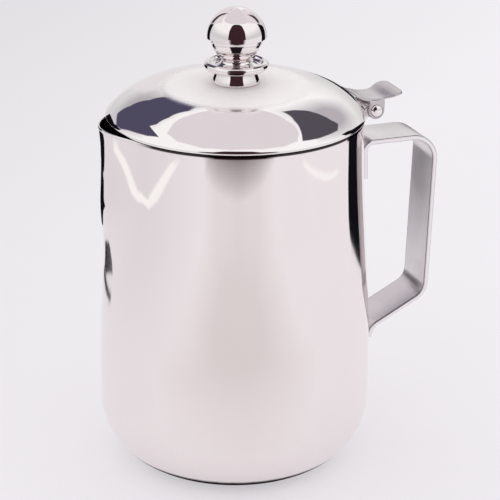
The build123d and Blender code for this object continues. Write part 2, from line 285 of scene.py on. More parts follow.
# Handle: a flat strip of stainless steel, 19.5 by 1.9 mm with eased edges, bent cold through
# four corners. A short flange at each end lies along the wall and is spot welded to it.
STRIP_WIDTH = 19.5
STRIP_THICKNESS = 1.9
STRIP_EASE = 0.55
WELD_GAP = 0.1
STAND_OFF = WELD_GAP + STRIP_THICKNESS / 2
ARM_LEVEL = BODY_HEIGHT - 13.2 - STRIP_THICKNESS / 2
ARM_BEND = 3.6
UPPER_FLANGE_END = ARM_LEVEL - 15.0
GRIP_X = BELLY_RADIUS + 29.1 - STRIP_THICKNESS / 2
GRIP_BEND = 10.0
GRIP_LEAN = 2.1
GRIP_FOOT = 61.7
GRIP_FOOT_BEND = 7.5
LOWER_LEVEL = 49.6
LOWER_OUT = 2.7
LOWER_BEND = 6.0
LOWER_FLANGE_END = 45.2
corners = [
    (wall_radius(UPPER_FLANGE_END) + STAND_OFF, UPPER_FLANGE_END, 0.0),
    (wall_radius(ARM_LEVEL) + STAND_OFF, ARM_LEVEL, ARM_BEND),
    (GRIP_X, ARM_LEVEL, GRIP_BEND),
    (GRIP_X - GRIP_LEAN, GRIP_FOOT, GRIP_FOOT_BEND),
    (wall_radius(LOWER_LEVEL) + LOWER_OUT, LOWER_LEVEL, LOWER_BEND),
    (wall_radius(LOWER_FLANGE_END) + STAND_OFF, LOWER_FLANGE_END, 0.0),
]


def bent_path(corners, steps):
    """Points and directions along straight runs joined by bends, each given as x, z, bend."""
    path = []
    for k, (x, z, bend) in enumerate(corners):
        here = Vector((x, z))
        if bend == 0.0:
            other = Vector(corners[1 if k == 0 else k - 1][:2])
            way = (other - here if k == 0 else here - other).normalized()
            path.append((here, way))
            continue
        way_in = (here - Vector(corners[k - 1][:2])).normalized()
        way_out = (Vector(corners[k + 1][:2]) - here).normalized()
        turn = way_in.angle_signed(way_out)
        run = bend * math.tan(abs(turn) / 2)
        side = Vector((way_in.y, -way_in.x)) * math.copysign(bend, turn)
        centre = here - way_in * run + side
        for step in range(steps + 1):
            part = Matrix.Rotation(-turn * step / steps, 2)
            path.append((centre - part @ side, part @ way_in))
    return path


def strip_section(half_width, half_thick, ease_radius, steps=4):
    """Outline of a flat strip with eased edges: offsets along its face normal and across it."""
    outline = []
    for quarter in range(4):
        sx = (half_width - ease_radius) * (1 if quarter in (0, 3) else -1)
        sz = (half_thick - ease_radius) * (1 if quarter in (0, 1) else -1)
        for step in range(steps + 1):
            bend = QUARTER * (quarter + step / steps)
            outline.append((sz + ease_radius * math.sin(bend), sx + ease_radius * math.cos(bend)))
    return outline


section = strip_section(STRIP_WIDTH / 2, STRIP_THICKNESS / 2, STRIP_EASE)
rings = []
for at, way in bent_path(corners, steps=14):
    rings.append([(at.x - way.y * n, across, at.y + way.x * n) for n, across in section])
handle = skin("handle_strip", rings, ends=True, sharp=60.0)

# Satin stainless steel: the faces keep the fine lines of rolling and belt grinding along the
# strip, drawn 0.4 mm apart so that they show, and a few finger smudges. The edges are polished,
# and a dark line is painted where each face turns over into them: a painted dark reflection.
STRIP_LINES = 0.4
STRIP_LINE_LENGTH = 25.0
SMUDGE_SIZE = 14.0
EDGE_FROM = 9.3
PAINTED_LINE_FROM = 9.0
satin = bpy.data.materials.new("satin_ground_steel")
satin.use_nodes = True
tree = satin.node_tree
place = add(tree, "ShaderNodeTexCoord", {}, {})
squash = add(
    tree, "ShaderNodeMapping",
    {"Scale": (1000 / STRIP_LINE_LENGTH, 1000 / STRIP_LINES, 1000 / STRIP_LINE_LENGTH)},
    {"Vector": place.outputs["Object"]},
)
lines = add(
    tree, "ShaderNodeTexNoise", {"Scale": 1.0, "Detail": 4.0},
    {"Vector": squash.outputs["Vector"]},
)
smudge = add(
    tree, "ShaderNodeTexNoise", {"Scale": 1000 / SMUDGE_SIZE, "Detail": 5.0},
    {"Vector": place.outputs["Object"]},
)
patchy = add(
    tree, "ShaderNodeMapRange", {"From Min": 0.35, "From Max": 0.65},
    {"Value": smudge.outputs["Fac"]},
)
axes = add(tree, "ShaderNodeSeparateXYZ", {}, {"Vector": place.outputs["Object"]})
aside = add(tree, "ShaderNodeMath", {"operation": "ABSOLUTE"}, {0: axes.outputs["Y"]})
edge = add(
    tree, "ShaderNodeMapRange", {"From Min": EDGE_FROM / 1000, "From Max": STRIP_WIDTH / 2000},
    {"Value": aside.outputs[0]},
)
# Painted dark reflection: a dark line along each face where it turns over into the edge.
painted_edge_line = add(
    tree, "ShaderNodeMapRange",
    {"From Min": PAINTED_LINE_FROM / 1000, "From Max": EDGE_FROM / 1000, "To Max": 0.9},
    {"Value": aside.outputs[0]},
)
ground = add(
    tree, "ShaderNodeMix",
    {"data_type": "RGBA", COLOUR_A: linear("#DCD6D8"), COLOUR_B: linear("#EAE5E7")},
    {SHARE: patchy.outputs["Result"]},
)
face_tone = add(
    tree, "ShaderNodeMix", {"data_type": "RGBA", COLOUR_B: linear("#2E2A2C")},
    {SHARE: painted_edge_line.outputs["Result"], COLOUR_A: ground.outputs[MIXED_COLOUR]},
)
tone = add(
    tree, "ShaderNodeMix", {"data_type": "RGBA", COLOUR_B: linear("#F2EDEF")},
    {SHARE: edge.outputs["Result"], COLOUR_A: face_tone.outputs[MIXED_COLOUR]},
)
face_grain = add(
    tree, "ShaderNodeMapRange", {"To Min": 0.27, "To Max": 0.37}, {"Value": lines.outputs["Fac"]}
)
grain = add(
    tree, "ShaderNodeMix", {"data_type": "FLOAT", NUMBER_B: 0.12},
    {SHARE: edge.outputs["Result"], NUMBER_A: face_grain.outputs["Result"]},
)
relief = add(
    tree, "ShaderNodeBump", {"Strength": 0.02, "Distance": 0.0002},
    {"Height": lines.outputs["Fac"]},
)
steel = tree.nodes["Principled BSDF"]
steel.inputs["Metallic"].default_value = 1.0
tree.links.new(tone.outputs[MIXED_COLOUR], steel.inputs["Base Color"])
tree.links.new(grain.outputs[MIXED_NUMBER], steel.inputs["Roughness"])
tree.links.new(relief.outputs["Normal"], steel.inputs["Normal"])
handle.data.materials.append(satin)
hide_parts("handle")
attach(handle, "jug")

# Hinge bracket: a curved plate of the same satin sheet welded to the wall under the rim, with
# two lugs folded out of it for the rivet. It is small and mostly hidden, so its solid is shown.
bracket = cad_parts["hinge_bracket"]
bracket.data.materials.clear()
bracket.data.materials.append(satin)

# Hinge rivet: a plain steel shank through both lugs and both ears, headed over to a bright dome
# at each end. It is turned about the hinge line, which runs across the jug.
PIN_X = 57.2
PIN_Z = 142.0
SHANK = 1.5
HEAD = 2.6
HEAD_HEIGHT = 1.4
HEAD_SEAT = 7.15


def turned(name, outline, steps):
    """A mesh turned about the upright axis from points given as radius and height in mm."""
    spin = [2 * math.pi * k / steps for k in range(steps)]
    rings = []
    for radius, level in outline:
        if radius == 0.0:
            rings.append([(0, 0, level)])
        else:
            rings.append([(radius * math.cos(t), radius * math.sin(t), level) for t in spin])
    return skin(name, rings)


def arc(centre, radius, start, end, steps, flat=1.0):
    """Points of a bend from one angle to another as radius and height; flat squashes it."""
    points = []
    for k in range(steps + 1):
        bend = start + (end - start) * k / steps
        out, up = radius * math.cos(bend), radius * flat * math.sin(bend)
        points.append((centre[0] + out, centre[1] + up))
    return points


head_flat = HEAD_HEIGHT / HEAD
outline = [(0.0, -HEAD_SEAT - HEAD_HEIGHT)]
outline += arc((0, -HEAD_SEAT), HEAD, -QUARTER, 0, steps=12, flat=head_flat)[1:]
outline += [(SHANK, -HEAD_SEAT), (SHANK, HEAD_SEAT)]
outline += arc((0, HEAD_SEAT), HEAD, 0, QUARTER, steps=12, flat=head_flat)[:-1]
outline.append((0.0, HEAD_SEAT + HEAD_HEIGHT))
rivet = turned("hinge_pin", outline, steps=48)
hinge_seat = Matrix.Translation(Vector((PIN_X, 0, PIN_Z)) / 1000)
rivet.data.transform(hinge_seat @ Matrix.Rotation(QUARTER, 4, "X"))

# Bright turned steel: the rivet and each piece of the knob are turned and then buffed in the
# lathe, which leaves a hard mirror with the faintest turning lines, drawn 0.5 mm apart so that
# they show.
TURNING_LINES = 0.5
TURNING_LENGTH = 50.0
mirror = bpy.data.materials.new("bright_turned_steel")
mirror.use_nodes = True
tree = mirror.node_tree
place = add(tree, "ShaderNodeTexCoord", {}, {})
squash = add(
    tree, "ShaderNodeMapping",
    {"Scale": (1000 / TURNING_LENGTH, 1000 / TURNING_LENGTH, 1000 / TURNING_LINES)},
    {"Vector": place.outputs["Object"]},
)
lines = add(
    tree, "ShaderNodeTexNoise", {"Scale": 1.0, "Detail": 2.0},
    {"Vector": squash.outputs["Vector"]},
)
tone = add(
    tree, "ShaderNodeMix",
    {"data_type": "RGBA", COLOUR_A: linear("#F1EAEA"), COLOUR_B: linear("#F7F2F2")},
    {SHARE: lines.outputs["Fac"]},
)
grain = add(
    tree, "ShaderNodeMapRange", {"To Min": 0.02, "To Max": 0.05}, {"Value": lines.outputs["Fac"]}
)
relief = add(
    tree, "ShaderNodeBump", {"Strength": 0.008, "Distance": 0.0001},
    {"Height": lines.outputs["Fac"]},
)
steel = tree.nodes["Principled BSDF"]
steel.inputs["Metallic"].default_value = 1.0
tree.links.new(tone.outputs[MIXED_COLOUR], steel.inputs["Base Color"])
tree.links.new(grain.outputs["Result"], steel.inputs["Roughness"])
tree.links.new(relief.outputs["Normal"], steel.inputs["Normal"])
rivet.data.materials.append(mirror)
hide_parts("hinge_rivet")
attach(rivet, "jug")

# Lid: a flat-topped dome pressed from 0.8 mm stainless steel, its edge folded back inside as a
# hem that rests on the rim. It is buffed to a full mirror before the knob is screwed on.
LID_RADIUS = RIM_RADIUS + 0.7
LID_SHEET = 0.8
LID_EDGE = BODY_HEIGHT + 0.3 + LID_SHEET
EDGE_SLOPE = math.radians(50.0)
LID_FULLNESS = 5.0
HEM_X = LID_RADIUS - LID_SHEET
HEM_WIDTH = 2.4
DOME_RADIUS = HEM_X + LID_SHEET * math.sin(EDGE_SLOPE)
DOME_FOOT = LID_EDGE + LID_SHEET * math.cos(EDGE_SLOPE)
DOME_RISE = DOME_RADIUS * math.tan(EDGE_SLOPE) / LID_FULLNESS
LID_APEX = DOME_FOOT + DOME_RISE
SCREW_HOLE = 2.15


def dome_slope(share):
    return math.atan(math.tan(EDGE_SLOPE) * share ** (LID_FULLNESS - 1))


def dome_point(share, depth):
    """Radius and height at a share of the dome's radius, at a depth under its outside."""
    slope = dome_slope(share)
    level = DOME_FOOT + DOME_RISE * (1 - share**LID_FULLNESS)
    return (DOME_RADIUS * share - depth * math.sin(slope), level - depth * math.cos(slope))


def dome_run(start, end, depth, steps):
    """Points from one share of the dome's radius to another."""
    return [dome_point(start + (end - start) * k / steps, depth) for k in range(steps + 1)]


hole_share = SCREW_HOLE / DOME_RADIUS
hem_share = 1 - HEM_WIDTH / DOME_RADIUS
roll_start = QUARTER - EDGE_SLOPE
outline = dome_run(hole_share, 1, 0, steps=96)
outline += arc((HEM_X, LID_EDGE), LID_SHEET, roll_start, roll_start - math.pi, steps=20)[1:-1]
outline += dome_run(1, hem_share, LID_SHEET * 2, steps=6)
outline += dome_run(hem_share, hole_share, LID_SHEET, steps=48)
lid = turned("lid_dome", outline, steps=288)

# Mirror-buffed stainless steel: a clear reflection, very slightly uneven from the buffing wheel.
# The wheel cannot reach close in round the knob, so a pale haze of its compound stays there, a
# little off centre.
BUFF_WAVE = 24.0
BUFF_CLOUD = 30.0
DULL_TO = 26.0
BRIGHT_FROM = 31.5
HAZE_SHIFT = (1.1, 3.0)
buffed = bpy.data.materials.new("mirror_buffed_steel")
buffed.use_nodes = True
tree = buffed.node_tree
place = add(tree, "ShaderNodeTexCoord", {}, {})
wave = add(
    tree, "ShaderNodeTexNoise", {"Scale": 1000 / BUFF_WAVE, "Detail": 1.0},
    {"Vector": place.outputs["Object"]},
)
haze = add(
    tree, "ShaderNodeTexNoise", {"Scale": 1000 / BUFF_CLOUD, "Detail": 5.0},
    {"Vector": place.outputs["Object"]},
)
buff = add(
    tree, "ShaderNodeMix",
    {"data_type": "RGBA", COLOUR_A: linear("#F4EFEF"), COLOUR_B: linear("#F9F5F5")},
    {SHARE: haze.outputs["Fac"]},
)
flat = add(
    tree, "ShaderNodeMapping",
    {"Location": (HAZE_SHIFT[0] / 1000, HAZE_SHIFT[1] / 1000, 0.0), "Scale": (1.0, 1.0, 0.0)},
    {"Vector": place.outputs["Object"]},
)
outward = add(
    tree, "ShaderNodeVectorMath", {"operation": "LENGTH"}, {0: flat.outputs["Vector"]}
)
bright = add(
    tree, "ShaderNodeMapRange",
    {
        "interpolation_type": "SMOOTHSTEP",
        "From Min": DULL_TO / 1000, "From Max": BRIGHT_FROM / 1000,
    },
    {"Value": outward.outputs["Value"]},
)
tone = add(
    tree, "ShaderNodeMix", {"data_type": "RGBA", COLOUR_A: linear("#FDF8F8")},
    {SHARE: bright.outputs["Result"], COLOUR_B: buff.outputs[MIXED_COLOUR]},
)
bare = add(tree, "ShaderNodeMapRange", {"To Min": 0.2}, {"Value": bright.outputs["Result"]})
shine = add(
    tree, "ShaderNodeMapRange", {"To Min": 0.012, "To Max": 0.035}, {"Value": haze.outputs["Fac"]}
)
grain = add(
    tree, "ShaderNodeMix", {"data_type": "FLOAT", NUMBER_A: 0.55},
    {SHARE: bright.outputs["Result"], NUMBER_B: shine.outputs["Result"]},
)
relief = add(
    tree, "ShaderNodeBump", {"Strength": 0.02, "Distance": 0.0004},
    {"Height": wave.outputs["Fac"]},
)
steel = tree.nodes["Principled BSDF"]
tree.links.new(tone.outputs[MIXED_COLOUR], steel.inputs["Base Color"])
tree.links.new(bare.outputs["Result"], steel.inputs["Metallic"])
tree.links.new(grain.outputs[MIXED_NUMBER], steel.inputs["Roughness"])
tree.links.new(relief.outputs["Normal"], steel.inputs["Normal"])
lid.data.materials.append(buffed)
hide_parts("lid_shell")
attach(lid, "lid")

# Thumb lever: one satin steel plate welded on the shoulder of the lid. It dips over the hinge and
# rises to a wide thumb pad with round corners, and two ears folded down from it take the rivet.
LEVER_SHEET = 1.0
LEVER_HALF = LEVER_SHEET / 2
LEVER_LAP = 3.2
LEVER_MID = PIN_Z + 4.1 + LEVER_HALF
LEVER_TIP = PIN_X + 10.8
LEVER_RISE = 2.3
LEVER_EASE = 0.3
EASE_LIMIT = 0.98
NECK_HALF = 7.0
PAD_HALF = 9.0
PAD_START = PIN_X + 2.6
PAD_FULL = PAD_START + 4.4
PAD_CORNER = 2.6
ROOT_TAPER = 3.0
ROOT_SHARE = 0.3
EAR_RADIUS = 3.4
EAR_SHEET = 1.0
EAR_EDGE = 0.25
EAR_HOLE = 1.55
EAR_STEPS = 64
EAR_TOP = LEVER_MID - PIN_Z
NEAR_UPRIGHT = 0.01


def bow(start, start_way, end, end_way, steps):
    """Points and directions along a smooth bend that leaves one point and ends in another."""
    a, b = Vector(start), Vector(end)
    reach = (b - a).length
    u, v = Vector(start_way).normalized() * reach, Vector(end_way).normalized() * reach
    path = []
    for step in range(steps + 1):
        t = step / steps
        at = (
            a * (2 * t**3 - 3 * t**2 + 1) + u * (t**3 - 2 * t**2 + t)
            + b * (3 * t**2 - 2 * t**3) + v * (t**3 - t**2)
        )
        way = (
            a * (6 * t**2 - 6 * t) + u * (3 * t**2 - 4 * t + 1)
            + b * (6 * t - 6 * t**2) + v * (3 * t**2 - 2 * t)
        )
        path.append((at, way.normalized()))
    return path


root_share = 1 - LEVER_LAP / LID_RADIUS
root_slope = dome_slope(root_share)
root_way = (math.cos(root_slope), -math.sin(root_slope))
root = dome_point(root_share, -WELD_GAP - LEVER_HALF)
dip = (PIN_X, LEVER_MID)
path = bow(root, root_way, dip, (1, 0), steps=24)
path += bow(dip, (1, 0), (LEVER_TIP, LEVER_MID + LEVER_RISE), (1, 0), steps=60)[1:]
rings = []
for at, way in path:
    widening = ease((at.x - PAD_START) / (PAD_FULL - PAD_START))
    into_corner = min(max(at.x - LEVER_TIP + PAD_CORNER, 0.0), PAD_CORNER)
    half = NECK_HALF + (PAD_HALF - NECK_HALF) * widening
    half -= PAD_CORNER - math.sqrt(PAD_CORNER**2 - into_corner**2)
    taper = ease((at.x - root[0]) / ROOT_TAPER)
    thin = LEVER_HALF * (ROOT_SHARE + (1 - ROOT_SHARE) * taper)
    sunk = thin - LEVER_HALF
    section = strip_section(half, thin, min(thin, LEVER_EASE) * EASE_LIMIT)
    rings.append([
        (at.x - way.y * (n + sunk), across, at.y + way.x * (n + sunk)) for n, across in section
    ])
lever = skin("lever_plate", rings, ends=True, sharp=50.0)

# Each ear is drawn as rings from the hole on one face, over the eased edge, to the hole on the
# other: how far each lies across the ear, and how far inside its outline, or None at the hole.
EAR_RINGS = (
    (0, None), (0, EAR_EDGE), (EAR_EDGE, 0),
    (EAR_SHEET - EAR_EDGE, 0), (EAR_SHEET, EAR_EDGE), (EAR_SHEET, None),
)
forge = bmesh.new()
forge.from_mesh(lever.data)
for side in (-1, 1):
    rings = []
    for across, inset in EAR_RINGS:
        y = side * (NECK_HALF - EAR_SHEET + across)
        ring = []
        for k in range(EAR_STEPS):
            turn = -side * 2 * math.pi * k / EAR_STEPS
            c, s = math.cos(turn), math.sin(turn)
            reach = EAR_HOLE
            if inset is not None:
                reach = EAR_RADIUS - inset
                if s > 0:
                    reach = min(reach / max(abs(c), NEAR_UPRIGHT), EAR_TOP / s)
            ring.append((PIN_X + reach * c, y, PIN_Z + reach * s))
        rings.append(ring)
    ear = skin("lever_ear", rings, sharp=50.0)
    forge.from_mesh(ear.data)
    bpy.data.meshes.remove(ear.data)
forge.to_mesh(lever.data)
forge.free()

# Satin steel for the lever: the strip's finish, its ground faces a little greyer as painted
# shade, so that the lever shows darker than the strip. Only the two colours of its ground faces
# differ.
shaded_satin = satin.copy()
shaded_satin.name = "satin_steel_painted_shade"
for socket, code in ((COLOUR_A, "#C6C0C2"), (COLOUR_B, "#D4CFD1")):
    shaded_satin.node_tree.nodes[ground.name].inputs[socket].default_value = linear(code)
lever.data.materials.append(shaded_satin)
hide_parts("thumb_lever")
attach(lever, "lid")

# Knob foot: a short turned ring that stands on the dome and flares to a round lower edge. The
# screw pulls it down through the pieces above it.
FOOT_LEVEL = LID_APEX + 0.05
FOOT_RADIUS = 9.45
FOOT_TOP = 8.2
FOOT_EDGE = 0.7
FOOT_BORE = 5.2
FOOT_HEIGHT = 5.35
COLLAR_LEVEL = FOOT_LEVEL + FOOT_HEIGHT
edge_level = FOOT_LEVEL + FOOT_EDGE
outline = [(FOOT_BORE, FOOT_LEVEL)]
outline += arc((FOOT_RADIUS - FOOT_EDGE, edge_level), FOOT_EDGE, -QUARTER, 0, steps=8)
flare = bow(
    (FOOT_RADIUS, edge_level), (-FOOT_EDGE, FOOT_HEIGHT), (FOOT_TOP, COLLAR_LEVEL), (0, 1),
    steps=16,
)
outline += [(at.x, at.y) for at, way in flare[1:]]
outline.append((FOOT_BORE, COLLAR_LEVEL))
foot = turned("knob_foot_ring", outline, steps=160)
foot.data.materials.append(mirror)
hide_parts("knob_foot")
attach(foot, "lid")

# Knob collar: a turned disc with a thick round rim, dished on top where the neck stands. It keeps
# fingers off the hot lid and is bright like the rest of the knob.
COLLAR_RADIUS = 12.65
COLLAR_EDGE = 3.2
COLLAR_DISH = 1.5
DISH_RADIUS = 9.4
NECK_FOOT = COLLAR_LEVEL + COLLAR_EDGE - COLLAR_DISH
rim_round = COLLAR_EDGE / 2
rim_centre = (COLLAR_RADIUS - rim_round, COLLAR_LEVEL + rim_round)
outline = [(SCREW_HOLE, COLLAR_LEVEL)]
outline += arc(rim_centre, rim_round, -QUARTER, QUARTER, steps=24)
dish = bow(
    (COLLAR_RADIUS - rim_round, COLLAR_LEVEL + COLLAR_EDGE), (-1, 0), (DISH_RADIUS, NECK_FOOT),
    (-1, 0), steps=10,
)
outline += [(at.x, at.y) for at, way in dish[1:]]
outline.append((SCREW_HOLE, NECK_FOOT))
collar = turned("knob_collar_disc", outline, steps=160)
collar.data.materials.append(mirror)
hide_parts("knob_collar")
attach(collar, "lid")

# Knob neck: a waisted turned ring between the collar and the ball, clamped by the same screw.
# It is narrowest a little below the ball, and its side is one curve through three points.
NECK_HEIGHT = 3.1
NECK_FOOT_RADIUS = 8.3
WAIST_RADIUS = 5.7
NECK_TOP_RADIUS = 5.95
NECK_STEPS = 16
CUP_LEVEL = NECK_FOOT + NECK_HEIGHT
waist = [
    (NECK_FOOT_RADIUS, NECK_FOOT),
    (WAIST_RADIUS, CUP_LEVEL - NECK_HEIGHT / 4),
    (NECK_TOP_RADIUS, CUP_LEVEL),
]
bend_at = math.dist(waist[0], waist[1])
full_run = bend_at + math.dist(waist[1], waist[2])
outline = [(SCREW_HOLE, NECK_FOOT)]
for k in range(NECK_STEPS + 1):
    u = full_run * k / NECK_STEPS
    low = (u - bend_at) * (u - full_run) / (bend_at * full_run)
    mid = u * (u - full_run) / (bend_at * (bend_at - full_run))
    high = u * (u - bend_at) / (full_run * (full_run - bend_at))
    outline.append(tuple(low * a + mid * b + high * c for a, b, c in zip(*waist)))
outline.append((SCREW_HOLE, CUP_LEVEL))
neck = turned("knob_neck_ring", outline, steps=128)
neck.data.materials.append(mirror)
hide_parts("knob_neck")
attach(neck, "lid")

# Knob cup: the lower half of the hollow ball, pressed from 0.9 mm sheet with a flat floor for
# the insert that the screw runs into.
CUP_RADIUS = 10.2
CUP_BASE = 6.2
BALL_SHEET = 0.9
BALL_LEVEL = CUP_LEVEL + math.sqrt(CUP_RADIUS**2 - CUP_BASE**2)
ball_centre = (0, BALL_LEVEL)
cup_start = math.asin((CUP_LEVEL - BALL_LEVEL) / CUP_RADIUS)
cup_floor = CUP_LEVEL + BALL_SHEET
cup_inner = CUP_RADIUS - BALL_SHEET
inner_start = math.asin((cup_floor - BALL_LEVEL) / cup_inner)
outline = [(SCREW_HOLE, CUP_LEVEL)]
outline += arc(ball_centre, CUP_RADIUS, cup_start, 0, steps=24)
outline += arc(ball_centre, cup_inner, 0, inner_start, steps=16)
outline.append((SCREW_HOLE, cup_floor))
cup = turned("knob_lower_shell", outline, steps=144)
cup.data.materials.append(mirror)
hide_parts("knob_cup")
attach(cup, "lid")

# Knob cap: the upper half of the ball, a hemispherical pressing whose straight band is pushed
# down over the cup and stands proud of it, which makes the dark seam round the ball.
CAP_RADIUS = 11.6
CAP_BAND = 0.4
CAP_EDGE = 0.1
CAP_FIT = 0.05
cap_inner = CAP_RADIUS - BALL_SHEET
band_level = BALL_LEVEL - CAP_BAND
outline = [(0.0, BALL_LEVEL + CAP_RADIUS)]
outline += arc(ball_centre, CAP_RADIUS, QUARTER, 0, steps=36)[1:]
outline += [
    (CAP_RADIUS, band_level + CAP_EDGE),
    (CAP_RADIUS - CAP_EDGE, band_level),
    (CUP_RADIUS + CAP_FIT, band_level),
    (CUP_RADIUS + CAP_FIT, BALL_LEVEL),
]
outline += arc(ball_centre, cap_inner, 0, QUARTER, steps=24)[:-1]
outline.append((0.0, BALL_LEVEL + cap_inner))
cap = turned("knob_upper_shell", outline, steps=160)
cap.data.materials.append(mirror)
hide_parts("knob_cap")
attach(cap, "lid")

# Knob screw, washer and insert: bought-in fixings of bright zinc-plated steel, out of sight in
# the ball and under the lid. Zinc gives a bluish grey, mottled at about a millimetre.
ZINC_MOTTLE = 1.2
zinc = bpy.data.materials.new("bright_zinc_plate")
zinc.use_nodes = True
tree = zinc.node_tree
place = add(tree, "ShaderNodeTexCoord", {}, {})
mottle = add(
    tree, "ShaderNodeTexNoise", {"Scale": 1000 / ZINC_MOTTLE, "Detail": 3.0},
    {"Vector": place.outputs["Object"]},
)
tone = add(
    tree, "ShaderNodeMix",
    {"data_type": "RGBA", COLOUR_A: linear("#B9BDC2"), COLOUR_B: linear("#D2D4D6")},
    {SHARE: mottle.outputs["Fac"]},
)
grain = add(
    tree, "ShaderNodeMapRange", {"To Min": 0.18, "To Max": 0.38}, {"Value": mottle.outputs["Fac"]}
)
steel = tree.nodes["Principled BSDF"]
steel.inputs["Metallic"].default_value = 1.0
tree.links.new(tone.outputs[MIXED_COLOUR], steel.inputs["Base Color"])
tree.links.new(grain.outputs["Result"], steel.inputs["Roughness"])
for name in ("knob_insert", "lid_washer", "knob_screw"):
    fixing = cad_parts[name]
    fixing.data.materials.clear()
    fixing.data.materials.append(zinc)

# Camera: a long lens a little above the jug, with the handle turned 21 degrees away. The lens is
# reckoned for an image 500 pixels square, and the lens and aim are those that put the jug where
# it was seen.
VIEW_TURN = math.radians(-21.0)
VIEW_DROP = math.radians(21.36)
VIEW_ROLL = math.radians(0.51)
VIEW_DISTANCE = 800.0
AIM_RIGHT = 5.96
AIM_HEIGHT = 87.56
FOCAL_PIXELS = 1993.0
IMAGE_PIXELS = 500
SENSOR = 36.0
UP = Vector((0, 0, 1))
right = Vector((math.cos(VIEW_TURN), math.sin(VIEW_TURN), 0))
away = Vector((-math.sin(VIEW_TURN), math.cos(VIEW_TURN), 0))
look = away * math.cos(VIEW_DROP) - UP * math.sin(VIEW_DROP)
upright = right.cross(look)
side = right * math.cos(VIEW_ROLL) + upright * math.sin(VIEW_ROLL)
head = upright * math.cos(VIEW_ROLL) - right * math.sin(VIEW_ROLL)
aim = right * AIM_RIGHT + UP * AIM_HEIGHT
lens = bpy.data.cameras.new("long_lens")
lens.sensor_width = SENSOR
lens.sensor_fit = "HORIZONTAL"
lens.lens = SENSOR * FOCAL_PIXELS / IMAGE_PIXELS
lens.clip_start = 0.05
lens.clip_end = 20.0
camera = bpy.data.objects.new("camera", lens)
bpy.context.scene.collection.objects.link(camera)
stand = Matrix.Translation((aim - look * VIEW_DISTANCE) / 1000)
camera.matrix_world = stand @ Matrix((side, head, -look)).transposed().to_4x4()
bpy.context.scene.camera = camera

# Floor: a wide sheet of matt white paper under the jug, with a trace of cool tint and the
# faintest mottle of paper fibre. It is painted a little greyer to the far left, a painted shade
# of light falling off there, and it also makes the whole background of the picture, so part of
# its own tone is added where it is seen or mirrored.
FLOOR_HALF = 3000.0
FLOOR_LEVEL = -0.3
FLOOR_GLOW = 0.55
FIBRE_SIZE = 90.0
GREYING_WAY = away * 0.6 - right * 1.6
floor_mesh = bpy.data.meshes.new("paper_floor")
floor_corners = [
    (FLOOR_HALF * x / 1000, FLOOR_HALF * y / 1000, FLOOR_LEVEL / 1000)
    for x, y in ((-1, -1), (1, -1), (1, 1), (-1, 1))
]
floor_mesh.from_pydata(floor_corners, [], [(0, 1, 2, 3)])
floor = bpy.data.objects.new("paper_floor", floor_mesh)
bpy.context.scene.collection.objects.link(floor)
paper = bpy.data.materials.new("matt_white_paper")
paper.use_nodes = True
tree = paper.node_tree
place = add(tree, "ShaderNodeTexCoord", {}, {})
fibre = add(
    tree, "ShaderNodeTexNoise", {"Scale": 1000 / FIBRE_SIZE, "Detail": 3.0},
    {"Vector": place.outputs["Object"]},
)
# Painted shade: the paper's tone falls to a greyer one towards the far left.
far_left = add(
    tree, "ShaderNodeVectorMath", {"operation": "DOT_PRODUCT", 1: GREYING_WAY},
    {0: place.outputs["Object"]},
)
far_share = add(
    tree, "ShaderNodeMapRange", {"From Min": 0.1, "From Max": 0.75},
    {"Value": far_left.outputs["Value"]},
)
near_tone = add(
    tree, "ShaderNodeMix",
    {"data_type": "RGBA", COLOUR_A: linear("#F2EFF3"), COLOUR_B: linear("#F5F2F6")},
    {SHARE: fibre.outputs["Fac"]},
)
tone = add(
    tree, "ShaderNodeMix", {"data_type": "RGBA", COLOUR_B: linear("#E4E1E5")},
    {SHARE: far_share.outputs["Result"], COLOUR_A: near_tone.outputs[MIXED_COLOUR]},
)
sheet = tree.nodes["Principled BSDF"]
sheet.inputs["Roughness"].default_value = 0.9
sheet.inputs["Specular IOR Level"].default_value = 0.0
tree.links.new(tone.outputs[MIXED_COLOUR], sheet.inputs["Base Color"])
seen = add(tree, "ShaderNodeLightPath", {}, {})
seen_or_mirrored = add(
    tree, "ShaderNodeMath", {"operation": "MAXIMUM"},
    {0: seen.outputs["Is Camera Ray"], 1: seen.outputs["Is Glossy Ray"]},
)
or_through = add(
    tree, "ShaderNodeMath", {"operation": "MAXIMUM"},
    {0: seen_or_mirrored.outputs[0], 1: seen.outputs["Is Transmission Ray"]},
)
share = add(
    tree, "ShaderNodeMath", {"operation": "MULTIPLY", 1: FLOOR_GLOW}, {0: or_through.outputs[0]}
)
pale = add(tree, "ShaderNodeEmission", {"Strength": 1.0}, {"Color": tone.outputs[MIXED_COLOUR]})
both = add(
    tree, "ShaderNodeMixShader", {},
    {0: share.outputs[0], 1: sheet.outputs["BSDF"], 2: pale.outputs["Emission"]},
)
tree.links.new(both.outputs["Shader"], tree.nodes["Material Output"].inputs["Surface"])
floor.data.materials.append(paper)

# Light: a white tent all round, which is the world, so every shadow is soft. It is a little
# greyer near the floor, where less light comes through the cloth.
world = bpy.data.worlds.new("white_tent")
bpy.context.scene.world = world
world.use_nodes = True
tree = world.node_tree
toward_sky = add(tree, "ShaderNodeTexCoord", {}, {})
axes = add(tree, "ShaderNodeSeparateXYZ", {}, {"Vector": toward_sky.outputs["Generated"]})
skirt = add(
    tree, "ShaderNodeMapRange",
    {"From Min": 0.1, "From Max": 0.42, "To Min": 0.7, "To Max": 1.0},
    {"Value": axes.outputs["Z"]},
)
tent = tree.nodes["Background"]
tent.inputs["Color"].default_value = linear("#FFFFFF")
tree.links.new(skirt.outputs["Result"], tent.inputs["Strength"])

# Roof and hazes: bright metal shows what stands round it, so glowing cards that only reflections
# see hang in the tent, painted reflections of cloths. Its roof is a pale panel, and a grey haze
# lies on either side of the back.
ROOF_REACH = 700
HAZE_REACH = 1200
HAZE_GREY = "#BAB6BB"


